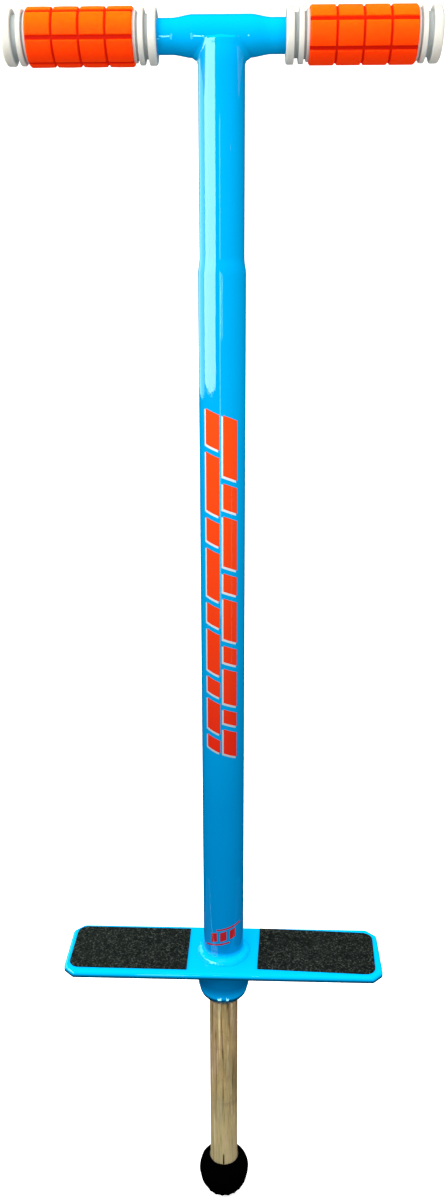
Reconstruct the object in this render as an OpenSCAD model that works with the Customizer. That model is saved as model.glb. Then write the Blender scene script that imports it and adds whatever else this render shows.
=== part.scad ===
// Spring pogo stick for older children and adults. Millimetres, +Z up.
// The origin is where the rubber tip touches the ground, under the axis of the tube.
// +X runs along the handlebar, and the rider stands on the -Y side.

/* [Tube] */
// Outside diameter of the lower part of the tube
tube_od = 35; // [33:0.5:38]
// Outside diameter of the swaged upper part
neck_od = 32.4; // [30:0.2:32.8]
// Wall of the tube
tube_wall = 1.5; // [1.2:0.1:1.8]
// Height at which the swage starts
swage_z = 840; // [820:1:860]
// Length of the swage
swage_len = 12; // [8:1:20]

/* [Handlebar] */
// Height of the handlebar's axis
bar_z = 994; // [980:1:1010]
// Diameter of the handlebar under the grips
bar_od = 22.2; // [22:0.1:22.6]
// Diameter of the handlebar at the tube
bar_mid_od = 26.2; // [25:0.2:28]
// Length of the handlebar tube
bar_len = 284; // [280:2:288]
// Distance from the middle to the outer end of a grip
grip_end = 147.8; // [145:0.2:150]
// Distance from the middle to the inner end of a grip
grip_start = 43.6; // [42:0.2:45]
// Outside diameter of the rubber sleeve of a grip
sleeve_od = 36.6; // [35:0.2:38]
// Rubber blocks along a grip
blocks_along = 4; // [3:1:5]
// Rubber blocks around a grip
blocks_around = 6; // [5:1:8]
// Width of the grooves between the blocks
groove_w = 1.8; // [1:0.2:2.4]
// Depth of the grooves between the blocks
groove_d = 1.6; // [1:0.2:2.2]

/* [Foot plate] */
// Length of the foot plate
plate_len = 277; // [260:1:300]
// Depth of the foot plate, front to back
plate_depth = 69; // [60:1:80]
// Height of the standing surface of the plate
plate_z = 268; // [264:1:272]
// Thickness of the plate's sheet
plate_t = 2.5; // [2:0.5:3]
// Height of the edges folded down all round
plate_edge = 5.6; // [5:0.2:12]
// Turn of the plate about the tube, as welded
plate_turn = -0.6; // [-2:0.1:2]
// Turn of the right grip tape on the plate, as stuck down
tape_turn = -2.4; // [-3:0.1:3]
// Turn of the left grip tape on the plate, as stuck down
left_tape_turn = -0.4; // [-3:0.1:3]
// Chamfer of the plate's corners
plate_corner = 9; // [6:1:12]
// Thickness of the grip tape
tread_t = 1.2; // [0.8:0.2:2]

/* [Plunger and spring] */
// Diameter of the plunger
plunger_od = 25.4; // [24:0.2:26]
// Wall of the plunger
plunger_wall = 2; // [1.6:0.2:2.4]
// Height of the plunger's upper end at rest
plunger_top = 436; // [430:1:440]
// Wire diameter of the spring
wire_d = 5; // [4.6:0.1:5.2]
// Mean diameter of the coil
coil_d = 24; // [23:0.5:24.5]
// Open turns of the spring
open_turns = 46; // [40:1:48]

/* [Hidden] */
$fn = 64;
eps = 0.01;

tube_r = tube_od / 2;
bore_r = tube_r - tube_wall;
seat_r = tube_r - 0.4;
neck_r = neck_od / 2;
neck_bore_r = neck_r - tube_wall;
bar_r = bar_od / 2;
bar_mid_r = bar_mid_od / 2;
bar_wall = 1.6;
plunger_r = plunger_od / 2;
plunger_bore_r = plunger_r - plunger_wall;
running_fit = 0.08;

// Heights, from the ground up
washer_z = 12;
socket_z = 15;
tip_mouth_z = 40;
cup_z = 222;
cup_floor_z = 228;
cup_r = 22.5;
tube_bottom_z = 237;
bushing_top_z = 278;
collar_z = 290;
collar_h = 12;
guide_h = 10;
seat_z = plunger_top + guide_h;
seat_t = 2;
spring_bottom_z = seat_z + seat_t;
spring_top_z = swage_z - 2;
plate_under_z = plate_z - plate_t;
plate_bead_z = plate_z + 4.6;
ear_z = bar_z - 4;

// Grip layout, measured along the bar
sleeve_start = 59.3;
sleeve_end = 131.3;
core_r = 13.6;
flange_r = 17.5;
shoulder_r = 15.6;
groove_floor_r = 14.4;
left_turn = 12;
right_turn = 38;

// Quarter turn of a corner: points from angle a to a + 90 about (x, y)
function arc(x, y, r, a, sweep = 90, steps = 6) =
    [for (i = [0:steps]) [x + r * cos(a + sweep * i / steps), y + r * sin(a + sweep * i / steps)]];

module on_bar() {
    translate([0, 0, bar_z]) rotate([0, 90, 0]) children();
}

module ring(outer, inner, z0, z1) {
    translate([0, 0, z0]) difference() {
        cylinder(r = outer, h = z1 - z0);
        translate([0, 0, -1]) cylinder(r = inner, h = z1 - z0 + 2);
    }
}

// ---- Frame ----

// The lower end is turned down where the cup, the plate and its weld sit on it
module main_tube() color("deepskyblue") {
    top_z = swage_z + swage_len;
    difference() {
        rotate_extrude() polygon([
            [bore_r, tube_bottom_z], [seat_r, tube_bottom_z],
            [seat_r, plate_bead_z], [tube_r, plate_bead_z], [tube_r, swage_z], [neck_r, top_z], [neck_r, ear_z],
            [neck_bore_r, ear_z], [neck_bore_r, top_z], [bore_r, swage_z]
        ]);
        on_bar() cylinder(r = bar_mid_r, h = 60, center = true);
    }
}

// Half of the bar's outline, from the middle out
module bar_outline(shrink) {
    flat = 21;
    taper = 32;
    polygon([
        [0, 0], [bar_mid_r - shrink, 0], [bar_mid_r - shrink, flat],
        [bar_r - shrink, taper], [bar_r - shrink, bar_len / 2], [0, bar_len / 2]
    ]);
}

module handlebar() color("deepskyblue") {
    on_bar() for (side = [0, 1]) mirror([0, 0, side]) rotate_extrude() difference() {
        bar_outline(0);
        translate([0, -eps]) scale([1, 1.01]) bar_outline(bar_wall);
    }
}

// Fillet of weld metal under the bar at both sides and over the tube's ears in front and behind
module handlebar_weld() color("deepskyblue") {
    leg = 6.5;
    low_z = bar_z - bar_mid_r - leg;
    difference() {
        union() {
            intersection() {
                rotate_extrude() polygon([
                    [neck_r - 1, low_z], [neck_r, low_z], [neck_r + leg, bar_z - bar_mid_r],
                    [neck_r + leg, bar_z - bar_mid_r + 4], [neck_r - 1, bar_z - bar_mid_r + 4]
                ]);
                translate([-40, -9, low_z]) cube([80, 18, 40]);
            }
            rotate_extrude() polygon([
                [bar_mid_r - 4, ear_z - 4], [neck_r, ear_z - 4], [neck_r, ear_z],
                [neck_r - 2.4, ear_z + 3], [bar_mid_r - 4, ear_z + 5]
            ]);
        }
        on_bar() cylinder(r = bar_mid_r, h = 80, center = true);
        translate([0, 0, 900]) cylinder(r = neck_r, h = ear_z - 900);
    }
}

// ---- Grips: built on +X, mirrored for the left hand ----

// Steps of the core: [distance along the bar, radius there]
core_steps = [
    [grip_start, flange_r], [49, flange_r], [49, groove_floor_r], [52, groove_floor_r],
    [52, flange_r], [55.6, flange_r], [55.6, groove_floor_r], [57.2, groove_floor_r], [57.2, shoulder_r],
    [sleeve_start, shoulder_r], [sleeve_start, core_r], [sleeve_end, core_r], [sleeve_end, shoulder_r],
    [132.8, shoulder_r], [132.8, groove_floor_r], [134, groove_floor_r], [134, flange_r], [137.3, flange_r],
    [137.3, groove_floor_r], [141.2, groove_floor_r], [141.2, flange_r],
    [grip_end - 1.5, flange_r], [grip_end, flange_r - 1.5]
];

module grip_core() {
    on_bar() rotate_extrude() polygon(concat(
        [[bar_r, grip_start]],
        [for (s = core_steps) [s[1], s[0]]],
        [[0, grip_end], [0, bar_len / 2], [bar_r, bar_len / 2]]
    ));
}

module grip_sleeve(turn) {
    length = sleeve_end - sleeve_start;
    pitch = length / blocks_along;
    floor_r = sleeve_od / 2 - groove_d;
    difference() {
        on_bar() ring(sleeve_od / 2, core_r, sleeve_start, sleeve_end);
        on_bar() for (i = [1:blocks_along - 1]) {
            ring(sleeve_od, floor_r, sleeve_start + pitch * i - groove_w / 2, sleeve_start + pitch * i + groove_w / 2);
        }
        // The grooves along the grip are counted from the rider's side downwards
        translate([0, 0, bar_z]) for (i = [0:blocks_around - 1]) rotate([turn + i * 360 / blocks_around, 0, 0]) {
            translate([sleeve_start - 1, -sleeve_od, -groove_w / 2]) cube([length + 2, sleeve_od - floor_r, groove_w]);
        }
    }
}

module right_grip_core() color("ghostwhite") {
    grip_core();
}

module left_grip_core() color("ghostwhite") {
    mirror([1, 0, 0]) grip_core();
}

module right_grip_sleeve() color("orangered") {
    grip_sleeve(right_turn);
}

module left_grip_sleeve() color("orangered") {
    mirror([1, 0, 0]) grip_sleeve(left_turn);
}

// ---- Foot plate ----

// Plan outline: a rectangle with chamfered corners, or the same drawn in by some distance all round
module plate_plan(inset = 0) {
    x = plate_len / 2 - inset;
    y = plate_depth / 2 - inset;
    c = plate_corner - 0.586 * inset;
    polygon([
        [-x, -y + c], [-x + c, -y], [x - c, -y], [x, -y + c],
        [x, y - c], [x - c, y], [-x + c, y], [-x, y - c]
    ]);
}

// Section across the plate, solid, with a rounded bend along the front and the back
module plate_section() {
    y = plate_depth / 2;
    bend = 3;
    polygon(concat(
        [[-y, -plate_edge]],
        arc(-y + bend, -bend, bend, 180, -90),
        arc(y - bend, -bend, bend, 90, -90),
        [[y, -plate_edge]]
    ));
}

// Shallow pan, open below, with its edge folded down all round
module foot_plate() color("deepskyblue") {
    difference() {
        intersection() {
            rotate(plate_turn) translate([-plate_len, 0, plate_z]) rotate([90, 0, 90]) {
                linear_extrude(2 * plate_len) plate_section();
            }
            rotate(plate_turn) translate([0, 0, plate_z - 20]) linear_extrude(40) plate_plan();
        }
        rotate(plate_turn) translate([0, 0, plate_under_z - 20]) linear_extrude(20) plate_plan(plate_t);
        translate([0, 0, plate_z - 20]) cylinder(r = seat_r, h = 40);
    }
}

// Bead round the tube where it passes through the plate
module plate_weld() color("deepskyblue") {
    rotate_extrude() polygon(concat(
        [[seat_r, plate_z], [tube_r + 5.8, plate_z]],
        arc(tube_r + 3.2, plate_z + 0.8, 2.6, 0, 90),
        [[tube_r, plate_bead_z], [seat_r, plate_bead_z]]
    ));
}

// Grip tape on one side: square towards the tube, rounded at the plate's end
module tread(x1) {
    x0 = 31;
    y0 = -28;
    y1 = 29.5;
    r = 9;
    translate([0, 0, plate_z]) linear_extrude(tread_t) polygon(concat(
        [[x0, y1], [x0, y0]],
        arc(x1 - r, y0 + r, r, 270),
        arc(x1 - r, y1 - r, r, 0)
    ));
}

module right_tread() color([0.1, 0.1, 0.1]) {
    rotate(plate_turn) translate([82, 0, 0]) rotate(tape_turn) translate([-82, 0, 0]) tread(133);
}

module left_tread() color([0.1, 0.1, 0.1]) {
    rotate(plate_turn) translate([-82, 0, 0]) rotate(left_tape_turn) translate([82, 0, 0]) {
        mirror([1, 0, 0]) tread(134);
    }
}

// ---- Lower end of the frame ----

// Pressed bowl that closes the tube under the plate and holds the bushing
module lower_cup() color("dodgerblue") {
    bowl_r = cup_r;
    mouth_r = plunger_r + 0.8;
    round_r = 15;
    center_r = bowl_r - round_r;
    sweep = acos((mouth_r + 0.6 - center_r) / round_r);
    drop = round_r * sin(sweep);
    difference() {
        rotate_extrude() polygon(concat(
            [[mouth_r, plate_under_z], [bowl_r, plate_under_z]],
            arc(center_r, cup_z + drop, round_r, 0, -sweep, 10),
            [[mouth_r, cup_z]]
        ));
        translate([0, 0, tube_bottom_z]) cylinder(r = seat_r, h = 60);
        translate([0, 0, cup_floor_z]) cylinder(r = bore_r, h = 60);
    }
}

module cup_weld() color("dodgerblue") {
    rotate_extrude() polygon([
        [cup_r, plate_under_z - 3], [cup_r, plate_under_z], [cup_r + 3.6, plate_under_z]
    ]);
}

// Nylon sleeve the plunger slides in
module lower_bushing() color("ivory") {
    ring(bore_r, plunger_r + running_fit, cup_floor_z, bushing_top_z);
}

module rebound_bumper() color([0.15, 0.15, 0.15]) {
    ring(bore_r - 0.4, plunger_r + 0.5, bushing_top_z, collar_z);
}

// ---- Spring ----

// Cone that wedges in the swage, with a peg that centres the spring
module upper_spring_seat() color("silver") {
    cone_h = 6;
    cone_r = bore_r - (bore_r - neck_bore_r) * cone_h / swage_len;
    difference() {
        union() {
            rotate_extrude() polygon([
                [0, spring_top_z], [bore_r, spring_top_z], [bore_r, swage_z],
                [cone_r, swage_z + cone_h], [0, swage_z + cone_h]
            ]);
            translate([0, 0, spring_top_z - 10]) cylinder(r = 8.4, h = 12);
        }
        translate([0, 0, spring_top_z - 11]) cylinder(r = 5, h = 40);
    }
}

// Height of the wire's centre after a number of turns: closed end coils, open turns between
function coil_z(turns) =
    let (low = spring_bottom_z + wire_d / 2, high = spring_top_z - wire_d / 2)
    let (rise = (high - low - 2 * wire_d) / open_turns)
    turns < 1 ? low + turns * wire_d
    : turns > open_turns + 1 ? high - (open_turns + 2 - turns) * wire_d
    : low + wire_d + (turns - 1) * rise;

module main_spring() color("gray") {
    sides = 6;
    steps = 8;
    rings = (open_turns + 2) * steps;
    points = [for (i = [0:rings]) for (k = [0:sides - 1])
        let (a = 360 * i / steps, b = 360 * k / sides, r = coil_d / 2 + wire_d / 2 * cos(b))
        [r * cos(a), r * sin(a), coil_z(i / steps) + wire_d / 2 * sin(b) * 0.97]
    ];
    sleeve = [for (i = [0:rings - 1]) for (k = [0:sides - 1])
        [i * sides + k, i * sides + (k + 1) % sides, (i + 1) * sides + (k + 1) % sides, (i + 1) * sides + k]
    ];
    ends = [
        [for (k = [sides - 1:-1:0]) k],
        [for (k = [0:sides - 1]) rings * sides + k]
    ];
    polyhedron(points, concat(sleeve, ends), convexity = 20);
}

module lower_spring_seat() color("silver") {
    difference() {
        union() {
            translate([0, 0, seat_z]) cylinder(r = 15.2, h = seat_t);
            translate([0, 0, seat_z]) cylinder(r = 8.4, h = seat_t + 9);
        }
        translate([0, 0, seat_z - 1]) cylinder(r = 5, h = 40);
    }
}

// ---- Plunger ----

// Nylon plug that rides in the tube on top of the plunger
module plunger_guide() color("ivory") {
    difference() {
        union() {
            translate([0, 0, plunger_top]) cylinder(r = bore_r - running_fit, h = guide_h);
            translate([0, 0, plunger_top - 20]) cylinder(r = plunger_bore_r, h = 21);
        }
        translate([0, 0, plunger_top - 21]) cylinder(r = 5, h = 40);
    }
}

module plunger_tube() color("tan") {
    slot_w = 1.5;
    slot_top_z = 53;
    difference() {
        ring(plunger_r, plunger_bore_r, socket_z, plunger_top);
        translate([-20, 0, collar_z + collar_h / 2]) rotate([0, 90, 0]) cylinder(r = 2, h = 40);
        translate([-slot_w / 2, -20, tip_mouth_z - 2]) cube([slot_w, 20, slot_top_z - tip_mouth_z + 2]);
    }
}

module stop_collar() color("silver") {
    difference() {
        ring(bore_r - 0.4, plunger_r, collar_z, collar_z + collar_h);
        translate([-20, 0, collar_z + collar_h / 2]) rotate([0, 90, 0]) cylinder(r = 2, h = 40);
    }
}

module stop_pin() color("dimgray") {
    difference() {
        translate([-15.2, 0, collar_z + collar_h / 2]) rotate([0, 90, 0]) cylinder(r = 2, h = 30.4);
        translate([-16, 0, collar_z + collar_h / 2]) rotate([0, 90, 0]) cylinder(r = 1.1, h = 32);
    }
}

module tip_washer() color("silver") {
    translate([0, 0, washer_z]) cylinder(r = plunger_r, h = socket_z - washer_z);
}

// Egg-shaped rubber foot with a socket for the plunger
module rubber_tip() color([0.08, 0.08, 0.08]) {
    difference() {
        rotate_extrude() polygon([
            [0, 0], [8, 0], [12, 2.6], [17, 7.6], [21.4, 15], [23, 22.4], [23.1, 28.4],
            [21.7, 34], [18.8, 38.4], [15.6, tip_mouth_z + 0.6], [13, tip_mouth_z + 0.6],
            [13, tip_mouth_z], [0, tip_mouth_z]
        ]);
        translate([0, 0, washer_z]) cylinder(r = plunger_r, h = 60);
    }
}

main_tube();
handlebar();
handlebar_weld();
left_grip_core();
right_grip_core();
left_grip_sleeve();
right_grip_sleeve();
foot_plate();
plate_weld();
left_tread();
right_tread();
lower_cup();
cup_weld();
lower_bushing();
rebound_bumper();
upper_spring_seat();
main_spring();
lower_spring_seat();
plunger_guide();
plunger_tube();
stop_collar();
stop_pin();
tip_washer();
rubber_tip();
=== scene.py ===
import math
import random

import bmesh
import bpy
from mathutils import Matrix, Vector


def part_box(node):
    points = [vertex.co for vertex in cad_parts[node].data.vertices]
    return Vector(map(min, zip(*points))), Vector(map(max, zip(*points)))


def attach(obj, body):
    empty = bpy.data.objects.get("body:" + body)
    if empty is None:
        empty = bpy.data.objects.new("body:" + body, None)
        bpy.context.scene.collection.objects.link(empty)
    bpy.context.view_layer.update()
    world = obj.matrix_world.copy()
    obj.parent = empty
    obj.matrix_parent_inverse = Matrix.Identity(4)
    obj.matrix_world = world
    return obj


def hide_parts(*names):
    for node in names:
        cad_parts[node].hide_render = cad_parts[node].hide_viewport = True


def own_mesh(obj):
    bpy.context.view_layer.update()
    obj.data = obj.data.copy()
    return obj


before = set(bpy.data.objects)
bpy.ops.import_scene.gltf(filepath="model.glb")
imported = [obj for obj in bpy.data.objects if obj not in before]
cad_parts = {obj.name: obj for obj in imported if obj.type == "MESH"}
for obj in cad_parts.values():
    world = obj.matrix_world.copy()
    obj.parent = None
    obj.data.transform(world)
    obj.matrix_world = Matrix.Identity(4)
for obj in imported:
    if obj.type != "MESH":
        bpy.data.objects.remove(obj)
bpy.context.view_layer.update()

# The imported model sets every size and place. Lengths below are in millimetres; meshes are made in metres.
MM = 0.001


def box_mm(node):
    low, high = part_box(node)
    return low / MM, high / MM


tube_low, tube_high = box_mm("main_tube")
bar_low, bar_high = box_mm("handlebar")
core_low, core_high = box_mm("right_grip_core")
sleeve_low, sleeve_high = box_mm("right_grip_sleeve")
plate_low, plate_high = box_mm("foot_plate")
_, tread_high = box_mm("right_tread")
_, bead_high = box_mm("plate_weld")
cup_low, cup_high = box_mm("lower_cup")
plunger_low, plunger_high = box_mm("plunger_tube")
_, tip_high = box_mm("rubber_tip")
spring_low, spring_high = box_mm("main_spring")

TUBE_R = tube_high.x
TUBE_WALL = 1.5
NECK_R = 16.2
SWAGE_Z = 840
SWAGE_LEN = 12
BAR_Z = (bar_low.z + bar_high.z) / 2
BAR_MID_R = (bar_high.z - bar_low.z) / 2
BAR_R = 11.1
BAR_WALL = 1.6
EAR_DROP = 4
PLATE_LEN = 277
PLATE_DEPTH = 69
PLATE_TURN = math.radians(-0.6)
TAPE_TURN = math.radians(-2.4)
LEFT_TAPE_TURN = math.radians(-0.4)
PLUNGER_R = plunger_high.x


# ---------------------------------------------------------------- shape tools

def mesh_piece(name, verts, faces, sharp=38):
    """A mesh object from points in millimetres, smooth but for edges sharper than that angle."""
    mesh = bpy.data.meshes.new(name)
    mesh.from_pydata([Vector(v) * MM for v in verts], [], faces)
    work = bmesh.new()
    work.from_mesh(mesh)
    bmesh.ops.remove_doubles(work, verts=work.verts, dist=1e-7)
    bmesh.ops.recalc_face_normals(work, faces=work.faces)
    work.to_mesh(mesh)
    work.free()
    mesh.polygons.foreach_set("use_smooth", [True] * len(mesh.polygons))
    mesh.set_sharp_from_angle(angle=math.radians(sharp))
    piece = bpy.data.objects.new(name, mesh)
    bpy.context.scene.collection.objects.link(piece)
    return piece


def rounded(corners, closed=True, steps=5):
    """Outline with its corners rounded: each corner is (x, y) or (x, y, radius)."""
    points = []
    count = len(corners)
    for i, corner in enumerate(corners):
        here = Vector(corner[:2])
        radius = corner[2] if len(corner) > 2 else 0
        if not radius or (not closed and i in (0, count - 1)):
            points.append(tuple(here))
            continue
        back = Vector(corners[i - 1][:2]) - here
        ahead = Vector(corners[(i + 1) % count][:2]) - here
        half = back.angle(ahead) / 2
        reach = min(radius / math.tan(half), back.length * 0.49, ahead.length * 0.49)
        radius = reach * math.tan(half)
        a, b = here + back.normalized() * reach, here + ahead.normalized() * reach
        middle = here + (back.normalized() + ahead.normalized()).normalized() * (radius / math.sin(half))
        start, end = a - middle, b - middle
        turn = start.angle_signed(end) if start.length and end.length else 0
        for k in range(steps + 1):
            angle = -turn * k / steps
            c, s = math.cos(angle), math.sin(angle)
            points.append((middle.x + start.x * c - start.y * s, middle.y + start.x * s + start.y * c))
    return points


def lathe(name, outline, axis="z", segments=128, sharp=38, side=1):
    """Turns a closed outline of (radius, distance along the axis) about the z axis or the bar's axis."""
    verts, faces = [], []
    count = len(outline)
    for k in range(segments):
        a = 2 * math.pi * k / segments
        for r, h in outline:
            r = max(r, 0)
            if axis == "z":
                verts.append((r * math.cos(a), r * math.sin(a), h))
            else:
                verts.append((side * h, -r * math.cos(a), BAR_Z + r * math.sin(a)))
    for k in range(segments):
        for i in range(count):
            j, n = (i + 1) % count, (k + 1) % segments
            faces.append((k * count + i, k * count + j, n * count + j, n * count + i))
    return mesh_piece(name, verts, faces, sharp)


def prism(name, outline, low, high):
    """A flat outline in plan, from one height to another."""
    count = len(outline)
    verts = [(x, y, z) for z in (low, high) for x, y in outline]
    faces = [tuple(range(count)), tuple(range(count, 2 * count))]
    faces += [(i, (i + 1) % count, count + (i + 1) % count, count + i) for i in range(count)]
    return mesh_piece(name, verts, faces)


def bake_modifiers(piece):
    """Keeps the modified mesh and drops the modifiers."""
    graph = bpy.context.evaluated_depsgraph_get()
    graph.update()
    mesh = bpy.data.meshes.new_from_object(piece.evaluated_get(graph))
    piece.modifiers.clear()
    piece.data = mesh
    return piece


def cut(piece, tool, how="DIFFERENCE"):
    step = piece.modifiers.new("cut", "BOOLEAN")
    step.operation, step.object, step.solver = how, tool, "EXACT"
    bake_modifiers(piece)
    bpy.data.objects.remove(tool)
    return piece


def bevel(piece, width, segments=3, sharp=38):
    step = piece.modifiers.new("bevel", "BEVEL")
    step.width, step.segments, step.limit_method = width * MM, segments, "ANGLE"
    step.angle_limit = math.radians(sharp)
    bake_modifiers(piece)
    piece.data.polygons.foreach_set("use_smooth", [True] * len(piece.data.polygons))
    piece.data.set_sharp_from_angle(angle=math.radians(sharp))
    return piece


def smooth_step(t):
    t = min(max(t, 0), 1)
    return t * t * (3 - 2 * t)


# ---------------------------------------------------------------- materials

class Look:
    """One Principled material, built from short calls. Patterns use the object's own coordinates."""

    def __init__(self, name, **sockets):
        self.material = bpy.data.materials.new(name)
        self.material.use_nodes = True
        self.tree = self.material.node_tree
        self.shader = self.tree.nodes["Principled BSDF"]
        self.place = self.tree.nodes.new("ShaderNodeTexCoord").outputs["Object"]
        self.set(**sockets)

    def set(self, **sockets):
        for name, value in sockets.items():
            socket = self.shader.inputs[name.replace("_", " ").title().replace("Ior", "IOR")]
            if isinstance(value, bpy.types.NodeSocket):
                self.tree.links.new(value, socket)
            else:
                socket.default_value = value
        return self

    def node(self, kind, inputs=(), **props):
        made = self.tree.nodes.new("ShaderNode" + kind)
        for key, value in props.items():
            setattr(made, key, value)
        for key, value in dict(inputs).items():
            if isinstance(value, bpy.types.NodeSocket):
                self.tree.links.new(value, made.inputs[key])
            else:
                made.inputs[key].default_value = value
        return made

    def stretched(self, x, y, z):
        return self.node("Mapping", {"Vector": self.place, "Scale": (x, y, z)}).outputs["Vector"]

    def noise(self, scale, detail=3, rough=0.55, place=None):
        inputs = {"Vector": place or self.place, "Scale": scale, "Detail": detail, "Roughness": rough}
        return self.node("TexNoise", inputs).outputs["Fac"]

    def cells(self, scale, feature="F1", place=None):
        inputs = {"Vector": place or self.place, "Scale": scale}
        return self.node("TexVoronoi", inputs, feature=feature).outputs["Distance"]

    def ramp(self, value, *stops):
        """Colours by value: stops are (position, grey or colour)."""
        made = self.node("ValToRGB", {"Fac": value})
        band = made.color_ramp
        while len(band.elements) < len(stops):
            band.elements.new(0.5)
        for element, (position, colour) in zip(band.elements, stops):
            element.position = position
            element.color = (*colour, 1) if isinstance(colour, tuple) else (colour, colour, colour, 1)
        return made.outputs["Color"]

    def between(self, value, low, high, out_low=0.0, out_high=1.0):
        inputs = {"Value": value, "From Min": low, "From Max": high, "To Min": out_low, "To Max": out_high}
        return self.node("MapRange", inputs).outputs["Result"]

    def maths(self, operation, a, b):
        return self.node("Math", {0: a, 1: b}, operation=operation).outputs["Value"]

    def mix(self, share, a, b, blend="MIX"):
        made = self.node("Mix", {"Factor": share}, data_type="RGBA", blend_type=blend)
        for socket, value in ((made.inputs[6], a), (made.inputs[7], b)):
            if isinstance(value, bpy.types.NodeSocket):
                self.tree.links.new(value, socket)
            else:
                socket.default_value = (*value, 1)
        return made.outputs[2]

    def bump(self, height, strength, distance, normal=None):
        inputs = {"Height": height, "Strength": strength, "Distance": distance}
        if normal:
            inputs["Normal"] = normal
        return self.node("Bump", inputs).outputs["Normal"]

    def grains(self, scale):
        """A random grey for each cell."""
        colour = self.node("TexVoronoi", {"Vector": self.place, "Scale": scale}).outputs["Color"]
        return self.node("SeparateColor", {"Color": colour}).outputs["Red"]

    def height(self):
        """Height above the ground at rest, in metres."""
        return self.node("SeparateXYZ", {"Vector": self.place}).outputs["Z"]

    def from_axis(self, centre, across):
        """Distance from a line through centre, in metres. across is 1 square to the line."""
        offset = self.node("VectorMath", {0: self.place, 1: centre}, operation="SUBTRACT").outputs["Vector"]
        flat = self.node("VectorMath", {0: offset, 1: across}, operation="MULTIPLY").outputs["Vector"]
        return self.node("VectorMath", {0: flat}, operation="LENGTH").outputs["Value"]


def blue_paint():
    look = Look("gloss_blue_paint", coat_weight=1.0, coat_roughness=0.03, coat_ior=1.55,
                specular_ior_level=0.0)
    drift = look.ramp(look.noise(9, 2), (0.3, (0.0, 0.365, 0.77)), (0.7, (0.0, 0.39, 0.81)))
    height = look.height()
    # Painted light and shade by height: the tube is painted darker towards the foot plate and lighter up to
    # the bar, the plate and weld bead lighter, and the cup dark under the plate with a painted lighter band
    # low on it.
    depth = look.ramp(height, (0.0, (1, 0.78, 0.88)), (0.2350, (1, 0.78, 0.88)), (0.2395, (1, 0.31, 0.38)),
                      (0.2575, (1, 0.31, 0.38)), (0.2615, 0.95), (0.2742, 1.08),
                      (0.2750, (1, 0.42, 0.49)), (0.42, (1, 0.46, 0.52)), (0.58, 0.66), (0.74, 0.86),
                      (0.975, 0.90), (0.985, 1.02))
    base = look.mix(1.0, drift, depth, "MULTIPLY")
    # Painted shade: a dark line along the plate's lower edge and a dark rim round the bottom of the cup.
    plate_lip_painted_shade = look.maths("MULTIPLY", look.between(height, 0.2662, 0.2640),
                           look.between(height, 0.2612, 0.2620))
    cup_rim_painted_shade = look.between(height, 0.2325, 0.2305)
    shade = look.maths("MULTIPLY", look.maths("MAXIMUM", plate_lip_painted_shade, cup_rim_painted_shade), 0.93)
    base = look.mix(shade, base, (0.0, 0.03, 0.07))
    fleck = look.between(look.noise(2600, 2), 0.66, 0.74)
    base = look.mix(look.maths("MULTIPLY", fleck, 0.10), base, (0.05, 0.5, 0.9))
    scuff_place = look.stretched(1.0, 1.0, 0.12)
    scuff = look.between(look.noise(420, 6, 0.72, scuff_place), 0.70, 0.74)
    base = look.mix(look.maths("MULTIPLY", scuff, 0.25), base, (0.03, 0.16, 0.40))
    scratch_place = look.stretched(1.0, 1.0, 0.02)
    scratch = look.between(look.noise(900, 4, 0.6, scratch_place), 0.735, 0.76)
    base = look.mix(look.maths("MULTIPLY", scratch, 0.35), base, (0.35, 0.62, 0.8))
    rough = look.maths("ADD", look.between(look.noise(60, 4), 0.3, 0.7, 0.24, 0.34),
                       look.maths("MULTIPLY", scuff, 0.25))
    peel = look.bump(look.noise(300, 2), 0.035, 0.0004)
    look.set(base_color=base, roughness=rough, normal=peel, coat_normal=peel)
    return look.material


def white_plastic():
    look = Look("white_grip_plastic", subsurface_weight=0.4, subsurface_scale=0.010, specular_ior_level=0.35)
    look.set(subsurface_radius=(1.0, 0.85, 0.65))
    grime = look.between(look.noise(70, 5, 0.65), 0.5, 0.78)
    base = look.mix(look.maths("MULTIPLY", grime, 0.30), (0.72, 0.70, 0.63), (0.56, 0.51, 0.42))
    # Painted shade: the white is painted grey where it lies below the flanges' rims, in the grooves and steps
    # between them.
    reach = look.from_axis((0, 0, BAR_Z * MM), (0, 1, 1))
    groove = look.between(reach, 0.0166, 0.0148)
    base = look.mix(look.maths("MULTIPLY", groove, 0.75), base, (0.40, 0.45, 0.455))
    # Painted shade: the white is painted darker towards the top of the grip, against the strong light from
    # above.
    painted_shade_on_top = look.between(look.height(), BAR_Z * MM - 0.006, BAR_Z * MM + 0.016, 1.0, 0.66)
    base = look.mix(1.0, base, painted_shade_on_top, "MULTIPLY")
    specks = look.between(look.noise(900, 2), 0.72, 0.76)
    base = look.mix(look.maths("MULTIPLY", specks, 0.3), base, (0.35, 0.32, 0.28))
    rough = look.between(look.noise(160, 4), 0.3, 0.7, 0.36, 0.52)
    look.set(base_color=base, roughness=rough, normal=look.bump(look.noise(1500, 3), 0.12, 0.0002))
    return look.material


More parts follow.
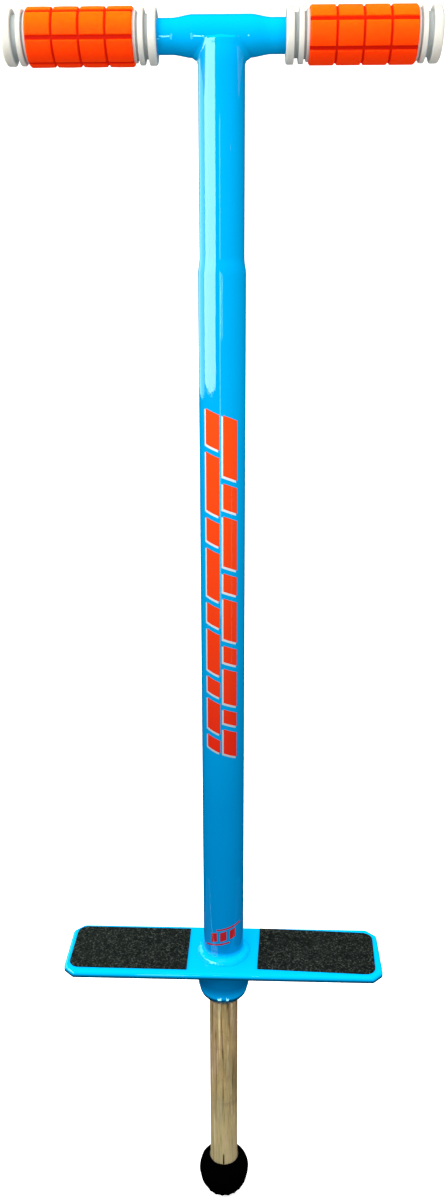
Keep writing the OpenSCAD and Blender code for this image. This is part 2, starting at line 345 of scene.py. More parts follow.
def orange_rubber():
    look = Look("orange_grip_rubber", subsurface_weight=0.55, subsurface_scale=0.010, specular_ior_level=0.05)
    # Painted light: the rubber is given a faint orange-red glow, though it is no lamp.
    look.set(subsurface_radius=(1.0, 0.20, 0.02), emission_color=(1.0, 0.012, 0.0, 1), emission_strength=0.26)
    groove = look.node("Attribute", attribute_name="groove").outputs["Fac"]
    tone = look.ramp(look.noise(55, 4, 0.6), (0.3, (0.95, 0.086, 0.0)), (0.7, (1.0, 0.108, 0.0)))
    # Painted shade: the underside of the sleeve is painted a deeper red.
    under = look.between(look.height(), BAR_Z * MM + 0.006, BAR_Z * MM - 0.014)
    tone = look.mix(under, tone, (0.95, 0.048, 0.0))
    # Painted shade: the grooves between the blocks are painted dark red.
    base = look.mix(look.maths("MULTIPLY", groove, 0.92), tone, (0.36, 0.0, 0.0))
    dust = look.between(look.noise(700, 4, 0.7), 0.62, 0.8)
    base = look.mix(look.maths("MULTIPLY", dust, 0.06), base, (0.9, 0.36, 0.05))
    rough = look.between(look.noise(240, 4), 0.3, 0.7, 0.46, 0.62)
    skin = look.bump(look.noise(1700, 3, 0.6), 0.22, 0.00025)
    look.set(base_color=base, roughness=rough, normal=look.bump(look.noise(120, 3), 0.12, 0.0008, skin))
    return look.material


def grip_tape():
    look = Look("black_grip_tape", specular_ior_level=0.15)
    grit = look.cells(1100)
    coarse = look.noise(520, 4, 0.7)
    grain = look.maths("ADD", look.maths("MULTIPLY", look.grains(950), 0.42), look.noise(700, 3, 0.85))
    base = look.ramp(grain, (0.50, (0.0008, 0.0012, 0.0012)), (0.72, (0.0025, 0.004, 0.0036)),
                     (0.84, (0.010, 0.0135, 0.0115)), (0.95, (0.05, 0.058, 0.047)))
    worn = look.between(look.noise(30, 4, 0.6), 0.48, 0.72)
    base = look.mix(look.maths("MULTIPLY", worn, 0.30), base, (0.006, 0.0085, 0.007))
    rough = look.between(coarse, 0.3, 0.7, 0.62, 0.95)
    rough_bump = look.bump(coarse, 0.6, 0.0006)
    look.set(base_color=base, roughness=rough, normal=look.bump(grit, 0.8, 0.0005, rough_bump))
    return look.material


def black_rubber():
    look = Look("black_tip_rubber", specular_ior_level=0.0)
    dust = look.between(look.noise(240, 5, 0.7), 0.55, 0.85)
    low = look.between(look.height(), 0.0, 0.02, 0.25, 0.02)
    base = look.mix(look.maths("MULTIPLY", dust, low), (0.0003, 0.0003, 0.0004), (0.02, 0.019, 0.017))
    lip = look.between(look.from_axis((0, 0, 0), (1, 1, 0)), 0.0135, 0.0131)
    lip = look.maths("MULTIPLY", lip, look.between(look.height(), 0.0382, 0.0390))
    base = look.mix(look.maths("MULTIPLY", lip, 0.8), base, (0.34, 0.32, 0.27))
    rough = look.between(look.noise(180, 4), 0.3, 0.7, 0.55, 0.8)
    pores = look.bump(look.noise(1300, 4, 0.65), 0.35, 0.0003)
    look.set(base_color=base, roughness=rough, normal=look.bump(look.noise(160, 3), 0.25, 0.001, pores))
    return look.material


def plated_steel():
    """Yellow-passivated zinc plate: streaks drawn along the tube, straw to olive, brown and pinkish."""
    look = Look("yellow_plated_steel", metallic=0.12, specular_ior_level=0.22)
    along = look.stretched(1.0, 1.0, 0.03)
    streaks = look.noise(400, 6, 0.68, along)
    broad = look.noise(75, 3, 0.5, look.stretched(1.0, 1.0, 0.16))
    base = look.ramp(streaks, (0.38, (0.05, 0.032, 0.012)), (0.45, (0.27, 0.185, 0.072)),
                     (0.5, (0.42, 0.30, 0.13)),
                     (0.55, (0.22, 0.16, 0.07)), (0.62, (0.62, 0.50, 0.29)))
    pink = look.between(broad, 0.50, 0.64)
    base = look.mix(look.maths("MULTIPLY", pink, 0.5), base, (0.42, 0.275, 0.17))
    olive = look.between(broad, 0.48, 0.34)
    base = look.mix(look.maths("MULTIPLY", olive, 0.45), base, (0.22, 0.205, 0.10))
    cloud = look.noise(34, 4, 0.6, look.stretched(1.0, 1.0, 0.8))
    base = look.mix(look.between(cloud, 0.36, 0.60, 0.45, 0.0), base, (0.19, 0.145, 0.075))
    wear = look.noise(60, 3, 0.6, look.stretched(0.22, 0.22, 1.0))
    base = look.mix(look.between(wear, 0.40, 0.33, 0.0, 0.5), base, (0.13, 0.095, 0.05))
    lower = look.between(look.height(), 0.14, 0.04)
    base = look.mix(look.maths("MULTIPLY", lower, 0.40), base, (0.56, 0.50, 0.27))
    rough = look.between(look.noise(420, 4, 0.6, along), 0.3, 0.7, 0.30, 0.5)
    look.set(base_color=base, roughness=rough, normal=look.bump(streaks, 0.12, 0.0003))
    return look.material


def metal(name, dark, light, low_rough, high_rough):
    """Bare or zinc-plated metal with fine turning marks and stains."""
    look = Look(name, metallic=0.95)
    turned = look.noise(260, 3, 0.6, look.stretched(0.4, 0.4, 9.0))
    stain = look.between(look.noise(45, 5, 0.65), 0.45, 0.75)
    base = look.mix(stain, light, dark)
    rough = look.between(turned, 0.3, 0.7, low_rough, high_rough)
    look.set(base_color=base, roughness=rough, normal=look.bump(turned, 0.12, 0.0002))
    return look.material


def nylon():
    look = Look("natural_nylon", subsurface_weight=0.15, subsurface_scale=0.003)
    oil = look.between(look.noise(60, 4), 0.5, 0.75)
    base = look.mix(look.maths("MULTIPLY", oil, 0.6), (0.74, 0.71, 0.62), (0.32, 0.28, 0.20))
    rough = look.between(look.noise(300, 3), 0.3, 0.7, 0.35, 0.55)
    look.set(base_color=base, roughness=rough, normal=look.bump(look.noise(900, 3), 0.15, 0.0002))
    return look.material


def print_ink(name, top_colour, painted_shade_low_colour, worn_colour):
    """Printed film under clear coat: painted darker towards the foot plate as shade, with worn specks and
    scratches.
    """
    look = Look(name, coat_weight=0.8, coat_roughness=0.06, specular_ior_level=0.0)
    worn = look.between(look.noise(520, 6, 0.75), 0.69, 0.73)
    scratch = look.between(look.noise(700, 4, 0.6, look.stretched(1.0, 1.0, 0.015)), 0.72, 0.75)
    # Painted shade: the print goes from its top colour to its darker low colour towards the foot plate.
    height = look.between(look.height(), 0.46, 0.75)
    base = look.mix(height, painted_shade_low_colour, top_colour)
    base = look.mix(look.maths("MULTIPLY", look.noise(30, 3), 0.12), base, worn_colour)
    base = look.mix(look.maths("MULTIPLY", scratch, 0.5), base, (0.75, 0.72, 0.70))
    base = look.mix(look.maths("MULTIPLY", worn, 0.7), base, worn_colour)
    rough = look.between(look.noise(140, 3), 0.3, 0.7, 0.3, 0.42)
    look.set(base_color=base, roughness=rough, normal=look.bump(look.noise(500, 2), 0.05, 0.0002))
    return look.material


PAINT = blue_paint()
WHITE = white_plastic()
ORANGE = orange_rubber()
TAPE = grip_tape()
RUBBER = black_rubber()
PLATED = plated_steel()
ZINC = metal("zinc_plated_steel", (0.36, 0.36, 0.35), (0.62, 0.62, 0.60), 0.24, 0.42)
SPRING = metal("oiled_spring_steel", (0.05, 0.05, 0.055), (0.20, 0.20, 0.21), 0.25, 0.45)
NYLON = nylon()
# The second colour of each print is its darker copy for the painted shade low down.
RED_INK = print_ink("red_orange_print", (0.80, 0.062, 0.004), (0.46, 0.008, 0.002), (0.40, 0.09, 0.05))
PALE_INK = print_ink("silver_print", (0.68, 0.73, 0.75), (0.25, 0.31, 0.34), (0.3, 0.45, 0.6))
DARK_INK = print_ink("dark_red_print", (0.30, 0.004, 0.006), (0.30, 0.004, 0.006), (0.3, 0.1, 0.1))


def fit(piece, body, slot, material, *nodes):
    """Gives a piece its material and body, and hides the CAD nodes that it stands for. slot is not used."""
    piece.data.materials.clear()
    piece.data.materials.append(material)
    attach(piece, body)
    if nodes:
        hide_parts(*nodes)
    return piece


# ---------------------------------------------------------------- frame tube and handlebar

def bar_radius(x):
    """Radius of the handlebar at a distance from its middle: swaged down under the grips."""
    full, slim = 19, 34
    return BAR_MID_R + (BAR_R - BAR_MID_R) * smooth_step((abs(x) - full) / (slim - full))


def cope_height(x, y):
    """Top of the tube's wall: the bar's underside, up to the trimmed ears in front of and behind the bar."""
    return BAR_Z - math.sqrt(max(BAR_MID_R ** 2 - y * y, EAR_DROP ** 2))


def make_tube():
    neck_z = SWAGE_Z + SWAGE_LEN
    swage = [(TUBE_R + (NECK_R - TUBE_R) * smooth_step(i / 12), SWAGE_Z + SWAGE_LEN * i / 12)
             for i in range(13)]
    outside = [(TUBE_R, tube_low.z), (TUBE_R, plate_high.z - 4), (TUBE_R, 500)] + swage
    outside += [(NECK_R, neck_z + 30), (NECK_R, BAR_Z - 20), (NECK_R, BAR_Z)]
    inside = [(r - TUBE_WALL, z) for r, z in reversed(outside)]
    piece = lathe("painted_main_tube", outside + inside, segments=160)
    for v in piece.data.vertices:
        if v.co.z > (BAR_Z - 1) * MM:
            v.co.z = cope_height(v.co.x / MM, v.co.y / MM) * MM
    fit(piece, "frame", "blue_paint", PAINT, "main_tube")


def make_handlebar():
    end = bar_high.x
    xs = [-end] + [i for i in range(-36, 37, 1)] + [end]
    outside = [(bar_radius(x), x) for x in xs]
    inside = [(r - BAR_WALL, x) for r, x in reversed(outside)]
    fit(lathe("painted_handlebar", outside + inside, axis="x"), "frame", "blue_paint", PAINT, "handlebar")


def make_bar_weld():
    """Fillet between the tube and the bar: under the bar at the sides, over the ears in front."""
    leg, over, rings, steps = 4.2, 3.2, 160, 14
    ear_roll = math.acos(EAR_DROP / BAR_MID_R)
    verts, faces = [], []
    count = steps + 2
    for k in range(rings):
        a = 2 * math.pi * k / rings
        c, s = math.cos(a), math.sin(a)
        roll = min(math.asin(min(NECK_R * abs(s) / BAR_MID_R, 1)), ear_roll)
        reach = leg + (over - leg) * smooth_step(abs(s))
        ripple = 0.18 * math.sin(11 * a) + 0.12 * math.sin(23 * a + 1)
        r = NECK_R + 0.04
        corner = Vector((NECK_R * c, NECK_R * s, BAR_Z - BAR_MID_R * math.cos(roll) + 0.5 * s * s))
        low = Vector((r * c, r * s, corner.z - reach + ripple))
        x = (NECK_R + reach * abs(c)) * c
        roll += (2.4 + ripple) / BAR_MID_R * s * s
        r = bar_radius(x) + 0.04
        high = Vector((x, math.copysign(r * math.sin(roll), s), BAR_Z - r * math.cos(roll)))
        for i in range(steps + 1):
            t = i / steps
            verts.append(low * (1 - t) ** 2 + corner * 2 * t * (1 - t) + high * t * t)
        verts.append((low + high) * 0.5 - Vector((1.2 * c, 1.2 * s, 0)))
    for k in range(rings):
        n = (k + 1) % rings
        for i in range(count):
            j = (i + 1) % count
            faces.append((k * count + i, k * count + j, n * count + j, n * count + i))
    fit(mesh_piece("handlebar_fillet", verts, faces, 60), "frame", "blue_paint", PAINT, "handlebar_weld")


# ---------------------------------------------------------------- grips

GROOVES = 4, 6


def make_core(name, side, node):
    """White core: a thick and a thin flange at each end with a groove between, and a closed outer end."""
    out, start, end = core_high.x, core_low.x, sleeve_high.x
    big, thin, step, deep, floor = 17.5, 17.3, 16.0, 13.7, 14.3
    outline = rounded([
        (BAR_R, start, 0.4), (big - 0.5, start, 1.0), (big, start + 1.2, 1.2), (big, 49.0, 0.7),
        (deep, 49.2, 0.4), (deep, 51.9, 0.4), (thin, 52.1, 0.6), (thin, 55.6, 0.6), (floor, 55.7, 0.2),
        (floor, 57.2, 0.2), (step, 57.3, 0.4), (step, sleeve_low.x, 0.2),
        (13.6, sleeve_low.x), (13.6, end), (step, end, 0.2), (step, end + 1.5, 0.4), (floor, end + 1.6, 0.2),
        (floor, end + 2.7, 0.2), (thin, end + 2.8, 0.6), (thin, end + 6.0, 0.6), (deep, end + 6.2, 0.4),
        (deep, end + 9.8, 0.4), (big, end + 10.0, 0.7), (big, out - 1.2, 1.6), (15.6, out - 0.1, 1.4),
        (12.8, out, 0.8), (12.0, out - 0.9, 0.5), (5, out - 0.7, 2), (0, out - 0.6), (0, bar_high.x),
        (BAR_R, bar_high.x)
    ])
    fit(lathe(name, outline, axis="x", side=side), "frame", "white_plastic", WHITE, node)


def profile_stops(length, count, groove, edge_points, first=0.0):
    """Places across a row of blocks, packed close at the grooves, and the depth at each, 0 to 1."""
    pitch = length / count
    places = []
    for i in range(count):
        start = first + pitch * i
        for k in range(edge_points + 1):
            places.append(start + groove * k / edge_points)
        places += [start + groove + (pitch - 2 * groove) * k / 6 for k in range(1, 6)]
        for k in range(edge_points):
            places.append(start + pitch - groove + groove * k / edge_points)
    return places


def groove_depth(distance, half, soft):
    """1 on the floor of a groove, 0 on top of a block, with a rounded shoulder between."""
    return 1 - smooth_step((abs(distance) - half) / soft)


def make_sleeve(name, side, node, turn):
    """Rubber sleeve with rows of raised blocks. turn is where the first lengthwise groove is."""
    along_count, around_count = GROOVES
    start, end = sleeve_low.x, sleeve_high.x
    length, outer = end - start, (sleeve_high.y - sleeve_low.y) / 2
    deep, half, long_half, soft = 1.35, 0.45, 1.1, 0.8
    pitch = length / along_count
    around = 2 * math.pi * outer
    arc = around / around_count
    xs = [p for p in profile_stops(length, along_count, 2.4, 8) if p <= length] + [length]
    angles = profile_stops(around, around_count, 2.4, 8)
    verts, faces, depths = [], [], []
    rows = len(angles)
    rim = 1.1
    for x in xs:
        near = min(abs(x - pitch * i) for i in range(1, along_count))
        ring = groove_depth(near, half, soft)
        fade = smooth_step(min(x, length - x) / rim)
        for s in angles:
            gap = min(s % arc, arc - s % arc)
            line = groove_depth(gap, long_half, soft)
            depth = 1 - (1 - ring) * (1 - line)
            dome = 0.22 * (min(gap, near, 6) / 6 - 1)
            r = outer + dome * (1 - depth) - deep * depth - 0.9 * (1 - fade) * (1 - depth)
            a = s / outer + math.radians(turn)
            verts.append((side * (start + x), -r * math.cos(a), BAR_Z - r * math.sin(a)))
            depths.append(depth)
    for x in (length, 0):
        for s in angles:
            a = s / outer + math.radians(turn)
            verts.append((side * (start + x), -13.6 * math.cos(a), BAR_Z - 13.6 * math.sin(a)))
            depths.append(0.6)
    loops = len(xs) + 2
    for i in range(loops):
        j = (i + 1) % loops
        for k in range(rows):
            n = (k + 1) % rows
            faces.append((i * rows + k, i * rows + n, j * rows + n, j * rows + k))
    piece = mesh_piece(name, verts, faces, 70)
    attribute = piece.data.attributes.new("groove", "FLOAT", "POINT")
    if len(piece.data.vertices) == len(depths):
        attribute.data.foreach_set("value", depths)
    fit(piece, "frame", "orange_rubber", ORANGE, node)


# ---------------------------------------------------------------- foot plate

def plate_plan(inset):
    """Plan of the plate with softened chamfers, or the same drawn in all round."""
    x, y = PLATE_LEN / 2 - inset, PLATE_DEPTH / 2 - inset
    c, soft = 9 - 0.586 * inset, max(5 - inset, 0.5)
    corners = [(-x, -y + c), (-x + c, -y), (x - c, -y), (x, -y + c),
               (x, y - c), (x - c, y), (-x + c, y), (-x, y - c)]
    return rounded([(px, py, soft) for px, py in corners])


def make_plate():
    """Pressed pan: the edge is folded down all round, and the top is pierced for the tube."""
    top, low, sheet, bend = plate_high.z, plate_low.z, 2.5, 2.6
    steps = 7
    rings = [(0, low + 0.5), (0.15, low + 0.15), (0.5, low)]
    rings = rings[::-1]
    for k in range(steps + 1):
        a = math.pi / 2 * k / steps
        rings.append((bend * (1 - math.cos(a)), top - bend * (1 - math.sin(a))))
    verts, faces = [], []
    count = len(plate_plan(0))
    for inset, z in rings:
        verts += [(x, y, z) for x, y in plate_plan(inset)]
    for i in range(len(rings) - 1):
        for k in range(count):
            n = (k + 1) % count
            faces.append((i * count + k, i * count + n, (i + 1) * count + n, (i + 1) * count + k))
    faces += [tuple(range(count)), tuple((len(rings) - 1) * count + k for k in range(count))]
    piece = mesh_piece("pressed_foot_plate", verts, faces)
    cut(piece, prism("hollow", plate_plan(sheet), low - 5, top - sheet))
    piece.data.transform(Matrix.Rotation(PLATE_TURN, 4, "Z"))
    ring = [(TUBE_R * math.cos(t * math.pi / 64), TUBE_R * math.sin(t * math.pi / 64)) for t in range(128)]
    cut(piece, prism("hole", ring, low - 5, top + 5))
    piece.data.polygons.foreach_set("use_smooth", [True] * len(piece.data.polygons))
    piece.data.set_sharp_from_angle(angle=math.radians(38))
    fit(piece, "frame", "blue_paint", PAINT, "foot_plate")


def make_plate_weld():
    """Bead with a slight ripple where the torch paused."""
    top = bead_high.z
    outline = rounded([(TUBE_R - 0.2, plate_high.z - 0.3), (bead_high.x, plate_high.z - 0.3),
                       (bead_high.x, plate_high.z + 0.5, 0.5), (TUBE_R + 4.6, plate_high.z + 3.0, 2.4),
                       (TUBE_R + 1.6, top - 0.2, 1.8), (TUBE_R - 0.2, top)], steps=7)
    piece = lathe("plate_weld_bead", outline, segments=192, sharp=60)
    for v in piece.data.vertices:
        flat = Vector((v.co.x, v.co.y))
        if flat.length > (TUBE_R + 0.3) * MM:
            a = math.atan2(v.co.y, v.co.x)
            wave = 0.14 * math.sin(23 * a) + 0.2 * math.sin(5 * a + 1) + 0.1 * math.sin(11 * a + 2)
            v.co.x += wave * MM * math.cos(a)
            v.co.y += wave * MM * math.sin(a)
    fit(piece, "frame", "blue_paint", PAINT, "plate_weld")


def make_tread(name, side, node, seed, x1, turn):
    """Grip tape with a rounded outer end, a soft edge and loose grains standing on it."""
    x0, y0, y1, middle = 31, -28, 29.5, 82
    low, top = plate_high.z, tread_high.z
    corners = [(side * x0, y0, 0.6), (side * x1, y0, 9), (side * x1, y1, 9), (side * x0, y1, 0.6)]
    outline = rounded(corners, steps=8)
    piece = prism(name, outline, low, top - 0.15)
    bevel(piece, 0.3)
    dice = random.Random(seed)
    verts = [v.co / MM for v in piece.data.vertices]
    faces = [tuple(p.vertices) for p in piece.data.polygons]
    for _ in range(2600):
        x, y = dice.uniform(x0 + 0.8, x1 - 0.8), dice.uniform(y0 + 0.8, y1 - 0.8)
        edge = min(x - x0, x1 - x, y - y0, y1 - y)
        near_corner = x > x1 - 9 and (y < y0 + 9 or y > y1 - 9)
        if near_corner and math.hypot(x - (x1 - 9), abs(y - (y0 + y1) / 2) - ((y1 - y0) / 2 - 9)) > 8.2:
            continue
        size = dice.uniform(0.22, 0.6)
        height = dice.uniform(0.08, 0.26) * min(edge, 1)
        spin = dice.uniform(0, 2 * math.pi)
        sides = dice.choice((3, 4, 5))
        first = len(verts)
        for k in range(sides):
            a = spin + 2 * math.pi * k / sides
            verts.append(Vector((side * x + size * math.cos(a), y + size * math.sin(a), top - 0.2)))
        x_place = side * x + dice.uniform(-0.1, 0.1)
        y_place = y + dice.uniform(-0.1, 0.1)
        verts.append(Vector((x_place, y_place, top - 0.15 + height)))
        faces += [(first + k, first + (k + 1) % sides, first + sides) for k in range(sides)]
        faces.append(tuple(first + k for k in range(sides)))
    bpy.data.objects.remove(piece)
    piece = mesh_piece(name, verts, faces, 20)
    piece.data.transform(Matrix.Translation((-side * middle * MM, 0, 0)))
    piece.data.transform(Matrix.Rotation(turn, 4, "Z"))
    piece.data.transform(Matrix.Translation((side * middle * MM, 0, 0)))
    piece.data.transform(Matrix.Rotation(PLATE_TURN, 4, "Z"))
    fit(piece, "frame", "grip_tape", TAPE, node)


def make_cup():
    """Pressed bowl under the plate, rolled in at its mouth."""
    bowl_r, mouth_r = cup_high.x, PLUNGER_R + 0.8
    floor, top = cup_low.z, cup_high.z
    outline = rounded([
        (bowl_r, top), (bowl_r, floor + 14.5, 8), (20.6, floor + 6.6, 8), (mouth_r + 1.9, floor + 0.4, 2.2),
        (mouth_r + 1.0, floor, 0.5), (mouth_r, floor + 0.3, 0.5), (mouth_r, floor + 6), (16.0, floor + 6),
        (16.0, 237), (TUBE_R, 237), (TUBE_R, top)
    ], steps=8)
    fit(lathe("pressed_lower_cup", outline, sharp=50), "frame", "blue_paint", PAINT, "lower_cup")


# ---------------------------------------------------------------- plunger, tip and spring

def make_plunger():
    low, top = plunger_low.z, plunger_high.z
    wall = 2.0
    outline = rounded([(PLUNGER_R, low, 0.4), (PLUNGER_R, top, 0.5), (PLUNGER_R - wall, top, 0.4),
                       (PLUNGER_R - wall, low, 0.4)])
    piece = lathe("plated_plunger", outline, segments=160)
    slot_half, slot_low, slot_top = 0.75, 38.0, 53.0
    shape = [(-slot_half, slot_low), (slot_half, slot_low), (slot_half * 0.8, slot_top - 2), (0, slot_top),
             (-slot_half * 0.8, slot_top - 2)]
    count = len(shape)
    verts = [(x, y, z) for y in (-PLUNGER_R - 3, -PLUNGER_R + wall + 1) for x, z in shape]
    faces = [tuple(range(count)), tuple(range(count, 2 * count))]
    faces += [(i, (i + 1) % count, count + (i + 1) % count, count + i) for i in range(count)]
    cut(piece, mesh_piece("slot", verts, faces))
    hole = lathe("pin_hole", [(0, -20), (2, -20), (2, 20), (0, 20)], axis="x", segments=48)
    for v in hole.data.vertices:
        v.co.z += (box_mm("stop_pin")[0].z + 2 - BAR_Z) * MM
    cut(piece, hole)
    piece.data.polygons.foreach_set("use_smooth", [True] * len(piece.data.polygons))
    piece.data.set_sharp_from_angle(angle=math.radians(38))
    fit(piece, "plunger", "plated_steel", PLATED, "plunger_tube")


def make_tip():
    """Egg-shaped rubber foot with a lip round its mouth and a moulded tread at the ground."""
    top = tip_high.z
    outline = rounded([
        (0, 0.0), (7.6, 0.0, 0.6), (8.2, 0.9, 0.5), (9.4, 0.8, 0.5), (11.9, 2.4, 4), (17.4, 7.6, 9),
        (21.5, 15.0, 10), (23.2, 22.4, 10), (23.2, 28.2, 9), (21.7, 33.8, 7), (19.0, 37.2, 1.2),
        (17.9, 37.3, 0.5), (17.2, 38.6, 0.6),
        (15.6, top - 0.2, 1.2), (13.7, top, 0.4), (12.9, top - 0.5, 0.2), (PLUNGER_R, top - 1.2),
        (PLUNGER_R, 12.0), (0, 12.0)
    ], steps=6)
    piece = lathe("moulded_rubber_tip", outline, segments=144, sharp=50)
    for v in piece.data.vertices:
        r, z = math.hypot(v.co.x, v.co.y) / MM, v.co.z / MM
        if r < 13 and z > 3 or r < 8:
            continue
        a = math.atan2(v.co.y, v.co.x)
        cleat = smooth_step((15 - z) / 9) * (0.5 + 0.5 * math.sin(18 * a)) ** 3
        lump = 0.16 * math.sin(3 * a + z / 4) + 0.12 * math.sin(7 * a - z / 3)
        push = (0.75 * cleat * smooth_step((r - 8) / 3) + lump * smooth_step(z / 6)) / r
        v.co.x *= 1 + push
        v.co.y *= 1 + push
    fit(piece, "plunger", "black_rubber", RUBBER, "rubber_tip")


def make_spring():
    """Round wire wound with closed end coils, drawn at its rest length; its upper end is the fixed one."""
    wire, coil, turns, steps, sides = 2.5, 12.0, 48, 36, 12
    low, high = spring_low.z + wire, spring_high.z - wire
    rise = (high - low - 4 * wire) / (turns - 2)
    verts, faces = [], []
    rings = turns * steps
    for i in range(rings + 1):
        t = i / steps
        if t < 1:
            z = low + t * 2 * wire
        elif t > turns - 1:
            z = high - (turns - t) * 2 * wire
        else:
            z = low + 2 * wire + (t - 1) * rise
        a = 2 * math.pi * t
        for k in range(sides):
            b = 2 * math.pi * k / sides
            r = coil + wire * math.cos(b)
            verts.append((r * math.cos(a), r * math.sin(a), z + wire * math.sin(b)))
    for i in range(rings):
        for k in range(sides):
            n = (k + 1) % sides
            faces.append((i * sides + k, i * sides + n, (i + 1) * sides + n, (i + 1) * sides + k))
    faces += [tuple(range(sides)), tuple(rings * sides + k for k in range(sides))]
    piece = mesh_piece("wound_spring", verts, faces, 60)
    fit(piece, "frame", "spring_steel", SPRING, "main_spring")
    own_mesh(piece)


# ---------------------------------------------------------------- printed graphics

def film(name, left, right, material, lift, closed=False, columns=8):
    """Thin printed film on the tube between two lines. A point is (distance round the tube to the right,
    from the middle of the rider's side, and height)."""
    verts, faces = [], []
    rows = len(left)
    for layer in (0.01, lift):
        r = TUBE_R + layer
        for (s0, z0), (s1, z1) in zip(left, right):
            for k in range(columns + 1):
                s, z = s0 + (s1 - s0) * k / columns, z0 + (z1 - z0) * k / columns
                verts.append((r * math.sin(s / TUBE_R), -r * math.cos(s / TUBE_R), z))
    width, layer_size = columns + 1, rows * (columns + 1)
    spans = rows if closed else rows - 1
    for i in range(spans):
        j = (i + 1) % rows
        for k in range(columns):
            for base in (0, layer_size):
                faces.append((base + i * width + k, base + i * width + k + 1,
                              base + j * width + k + 1, base + j * width + k))
        for k in (0, columns):
            near, far = i * width + k, j * width + k
            faces.append((near, far, layer_size + far, layer_size + near))
    if not closed:
        for i in (0, rows - 1):
            for k in range(columns):
                faces.append((i * width + k, i * width + k + 1, layer_size + i * width + k + 1,
                              layer_size + i * width + k))
    fit(mesh_piece(name, verts, faces), "frame", "blue_paint", material)


def slanted_bar(name, s0, s1, z0, z1, slope, material, lift):
    """A bar between two heights whose upper and lower ends slope."""
    rows = 6
    left = [(s0, z0 + (z1 - z0) * i / rows) for i in range(rows + 1)]
    right = [(s1, z + slope) for _, z in left]
    film(name, left, right, material, lift)


def make_speed_blocks():
    """Two staggered columns of slanted blocks, shorter towards the foot plate, each with a pale edge."""
    top, bottom, gap = 746.0, 470.0, 5.6
    columns = (
        (-13.2, -1.9, 0.0, (26, 44, 18, 38, 16, 34, 13, 26, 11)),
        (0.9, 12.2, -4.6, (46, 20, 40, 15, 34, 14, 30, 12, 22)),
    )
    for c, (s0, s1, drop, lengths) in enumerate(columns):
        share = (top - bottom - 3 - gap * (len(lengths) - 1)) / sum(lengths)
        z = top + drop
        for i, length in enumerate(lengths):
            tall = length * share
            slope = -4.4
            slanted_bar(f"speed_block_edge_{c}_{i}", s0 - 1.3, s1 - 1.0, z - tall - 1.4, z - 0.6, slope,
                        PALE_INK, 0.07)
            slanted_bar(f"speed_block_{c}_{i}", s0, s1, z - tall, z, slope, RED_INK, 0.13)
            z -= tall + gap


def make_badge():
    """Plain stripes above the foot plate: three slanted dashes between two thin rising lines."""
    middle, half, tilt, steps = 294.0, 17.0, 0.26, 24
    across = [-half + 2 * half * i / steps for i in range(steps + 1)]
    for name, rise, start, end in (("upper", 7.2, 0.55, 1.0), ("lower", -7.2, 0.0, 0.45)):
        points = [s for s in across if start * 2 * half - half - 8 <= s <= end * 2 * half - half + 8]
        low = [(s, middle + rise - 0.7 + tilt * s) for s in points]
        high = [(s, middle + rise + 0.7 + tilt * s) for s in points]
        film(f"badge_line_{name}", low, high, DARK_INK, 0.10, columns=2)
    for i, shift in enumerate((-11.0, -2.6, 5.8)):
        centre = middle + tilt * shift
        slanted_bar(f"badge_dash_{i}", shift, shift + 5.6, centre - 4.6, centre + 4.2, 2.0, DARK_INK, 0.10)


# ---------------------------------------------------------------- CAD nodes that keep their shape

def finish_cad_nodes():
    kept = {
        "cup_weld": PAINT, "lower_bushing": NYLON, "plunger_guide": NYLON, "rebound_bumper": RUBBER,
        "upper_spring_seat": ZINC, "lower_spring_seat": ZINC, "stop_collar": ZINC, "tip_washer": ZINC,
        "stop_pin": SPRING,
    }
    for node, material in kept.items():
        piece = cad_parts[node]
        if not piece.material_slots:
            piece.data.materials.append(material)
        for slot in piece.material_slots:
            slot.material = material


make_tube()
make_handlebar()
make_bar_weld()
make_core("left_core_moulding", -1, "left_grip_core")
make_core("right_core_moulding", 1, "right_grip_core")
make_sleeve("left_block_sleeve", -1, "left_grip_sleeve", 12)
make_sleeve("right_block_sleeve", 1, "right_grip_sleeve", 38)
make_plate()
make_plate_weld()
make_tread("left_grip_tape", -1, "left_tread", 3, 134, LEFT_TAPE_TURN)
make_tread("right_grip_tape", 1, "right_tread", 4, 133, TAPE_TURN)
make_cup()
make_plunger()
make_tip()
make_spring()
make_speed_blocks()
make_badge()
finish_cad_nodes()


# ---------------------------------------------------------------- floor, light and camera

def plain(name, colour, rough, glow):
    material = bpy.data.materials.new(name)
    material.use_nodes = True
    shader = material.node_tree.nodes["Principled BSDF"]
    shader.inputs["Base Color"].default_value = (*colour, 1)
    shader.inputs["Roughness"].default_value = rough
    shader.inputs["Emission Color"].default_value = (1, 1, 1, 1)
    shader.inputs["Emission Strength"].default_value = glow
    return material


def make_floor():
    """Pale floor that curves up into a backdrop far behind."""
    half, back, rise, bend = 6000, 5000, 6000, 1500
    line = [(-6000, 0), (back - bend, 0)]
    line += [(back - bend + bend * math.sin(t * math.pi / 24), bend - bend * math.cos(t * math.pi / 24))
             for t in range(1, 13)]
    line += [(back, rise)]
    verts = [(x, y, z) for x in (-half, half) for y, z in line]
    count = len(line)
    faces = [(i, i + 1, count + i + 1, count + i) for i in range(count - 1)]
    floor = mesh_piece("studio_floor", verts, faces)
    floor.data.materials.append(plain("pale_floor", (0.9, 0.9, 0.9), 0.7, 0.42))
    floor.visible_diffuse, floor.visible_glossy = False, False


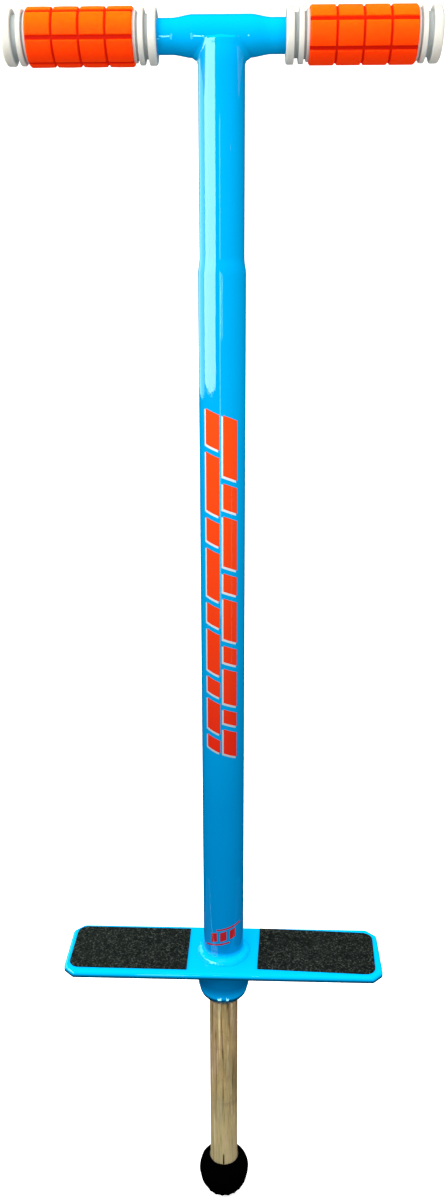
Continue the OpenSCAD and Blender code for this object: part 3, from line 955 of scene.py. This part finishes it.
def panel(name, place, target, wide, tall, bright, colour=(1, 1, 1), gloss=True, shade=False):
    """Soft rectangular light that faces a point, in metres. gloss and shade choose what it shows in."""
    data = bpy.data.lights.new(name, "AREA")
    data.shape, data.size, data.size_y, data.color = "RECTANGLE", wide, tall, colour
    data.energy = bright * math.pi * wide * tall
    lamp = bpy.data.objects.new(name, data)
    lamp.location = place
    lamp.rotation_euler = (Vector(target) - Vector(place)).to_track_quat("-Z", "Y").to_euler()
    lamp.visible_glossy, lamp.visible_diffuse, lamp.visible_transmission = gloss, shade, shade
    lamp.visible_camera = False
    bpy.context.scene.collection.objects.link(lamp)


def make_sky():
    """Soft dome: brightest overhead, a little brighter on the left, dim below. Seen directly it is white."""
    world = bpy.data.worlds.new("studio")
    bpy.context.scene.world = world
    world.use_nodes = True
    tree = world.node_tree
    place = tree.nodes.new("ShaderNodeTexCoord")
    tilt = tree.nodes.new("ShaderNodeVectorMath")
    tilt.operation = "DOT_PRODUCT"
    tilt.inputs[1].default_value = (-0.42, -0.05, 1.85)
    lift = tree.nodes.new("ShaderNodeMath")
    lift.operation = "ADD"
    lift.inputs[1].default_value = 0.76
    least = tree.nodes.new("ShaderNodeMath")
    least.operation = "MAXIMUM"
    least.inputs[1].default_value = 0.52
    tree.links.new(place.outputs["Generated"], tilt.inputs[0])
    tree.links.new(tilt.outputs["Value"], lift.inputs[0])
    tree.links.new(lift.outputs["Value"], least.inputs[0])
    seen = tree.nodes.new("ShaderNodeMath")
    seen.operation = "MAXIMUM"
    rays = tree.nodes.new("ShaderNodeLightPath")
    tree.links.new(least.outputs["Value"], seen.inputs[0])
    tree.links.new(rays.outputs["Is Camera Ray"], seen.inputs[1])
    tree.links.new(seen.outputs["Value"], tree.nodes["Background"].inputs["Strength"])
    tree.nodes["Background"].inputs["Color"].default_value = (1, 1, 1, 1)
    world.cycles_visibility.glossy = False


def make_light():
    make_sky()
    panel("top_front", (-0.5, -1.0, 1.65), (0, 0, 0.9), 0.7, 0.7, 8, gloss=False, shade=True)
    panel("low_right", (0.9, -0.9, 0.45), (0, 0, 0.4), 0.5, 0.5, 4, gloss=False, shade=True)
    panel("left_window", (-1.60, -0.86, 1.10), (0, 0, 1.10), 2.2, 0.96, 8.5, (0.8, 1, 1))
    panel("left_back_card", (-1.26, 0.82, 1.07), (0, 0, 1.07), 1.5, 0.90, 2.8, (0.5, 1, 0.6))
    panel("front_strip", (-0.28, -1.78, 0.62), (0, 0, 0.62), 0.16, 1.2, 4.5, (0.35, 0.9, 1))
    panel("right_strip", (1.11, -1.0, 0.2), (0, 0, 0.2), 0.06, 0.42, 2.5, (0.0, 0.75, 1))
    for i, (x, wide) in enumerate(((-0.05, 0.05), (0.05, 0.03))):
        panel(f"low_card_{i}", (x, -0.105, 0.015), (0, 0, 0.24), wide, 0.008, 13, (0.4, 0.9, 1))
    for i, x in enumerate((-0.0985, -0.0545, 0.0315)):
        panel(f"lamp_{i}", (x, -0.85, 0.84), (x, 0, 0.95), 0.017, 0.12, 12, (0.5, 0.95, 1))


def make_camera():
    """Camera at an adult's chest height, looking down at the stick from the rider's side."""
    turn, pitch, roll = math.radians(1.41), math.radians(17.0), math.radians(0.13)
    distance, height, side = 0.7607, 0.8265, 0.0003
    data = bpy.data.cameras.new("camera")
    data.sensor_width, data.lens, data.clip_start = 36, 30, 0.01
    camera = bpy.data.objects.new("camera", data)
    camera.location = (side * math.cos(turn) + distance * math.sin(turn),
                       side * math.sin(turn) - distance * math.cos(turn), height)
    camera.rotation_euler = (math.pi / 2 - pitch, roll, turn)
    bpy.context.scene.collection.objects.link(camera)
    bpy.context.scene.camera = camera


make_floor()
make_light()
make_camera()
bpy.context.scene.view_settings.view_transform = "Standard"
